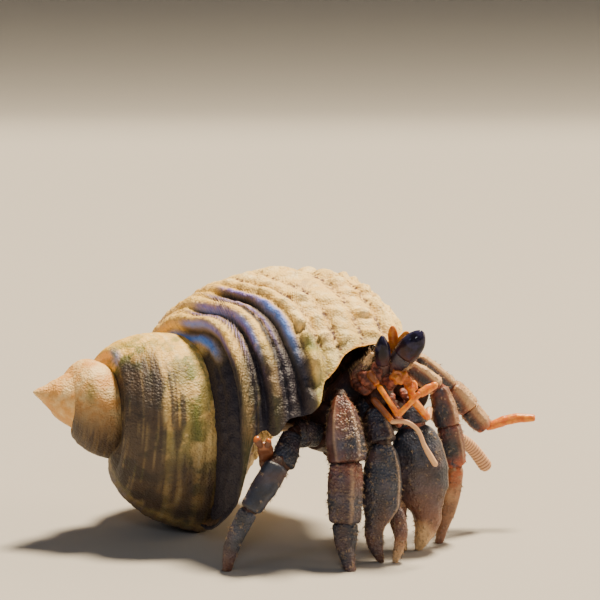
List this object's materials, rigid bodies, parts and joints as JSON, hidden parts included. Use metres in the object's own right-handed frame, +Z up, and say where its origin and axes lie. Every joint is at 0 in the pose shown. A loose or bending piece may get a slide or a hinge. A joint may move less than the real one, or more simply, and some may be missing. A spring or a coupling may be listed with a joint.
{
  "type": "land hermit crab in a turban shell",
  "caption": "Land hermit crab standing in a ribbed, cone-spired turban shell, head and claws low over the aperture's lip, feelers and legs spread.",
  "frame": {"origin": "centre of the bounding box, on the floor the animal stands on", "axes": "+X from the tip of the shell's spire to the crab's head, +Z up, -Y towards the crab's right side and claws"},
  "size_m": [0.0596, 0.039, 0.0317],
  "materials": {
    "shell": "worn satin",
    "horn": "satin",
    "cuticle": "satin",
    "feeler": "satin",
    "eye": "gloss",
    "flesh": "moist"
  },
  "bodies": {
    "root": {"abdomen": "flesh", "acicle_right": "cuticle", "antenna_left_joint": "feeler", "antenna_left_stem": "feeler", "antenna_left_whip": "feeler", "antenna_right_stem": "feeler", "antenna_right_whip": "feeler", "antennule_left_base": "feeler", "antennule_left_end": "feeler", "antennule_left_tip": "feeler", "antennule_right_base": "feeler", "antennule_right_end": "feeler", "antennule_right_middle": "feeler", "antennule_right_tip": "feeler", "claw_left_carpus": "cuticle", "claw_left_finger": "cuticle", "claw_left_merus": "cuticle", "claw_left_palm": "cuticle", "claw_right_carpus": "cuticle", "claw_right_finger": "cuticle", "claw_right_merus": "cuticle", "claw_right_palm": "cuticle", "cornea_left": "eye", "cornea_right": "eye", "eyestalk_left": "cuticle", "eyestalk_right": "cuticle", "face_right": "flesh", "leg_2_left_carpus": "cuticle", "leg_2_left_dactyl": "horn", "leg_2_left_merus": "cuticle", "leg_2_left_propodus": "horn", "leg_2_right_carpus": "cuticle", "leg_2_right_dactyl": "horn", "leg_2_right_merus": "cuticle", "leg_2_right_propodus": "horn", "leg_3_left_carpus": "cuticle", "leg_3_left_dactyl": "feeler", "leg_3_left_merus": "cuticle", "leg_3_left_propodus": "horn", "leg_3_right_carpus": "cuticle", "leg_3_right_dactyl": "horn", "leg_3_right_merus": "cuticle", "leg_3_right_propodus": "horn", "leg_4_left": "feeler", "leg_4_right": "feeler", "mouth_limb_left": "flesh", "mouth_limb_right": "flesh", "shell": "shell", "shield": "cuticle", "thorax": "flesh"}
  },
  "joints": []
}
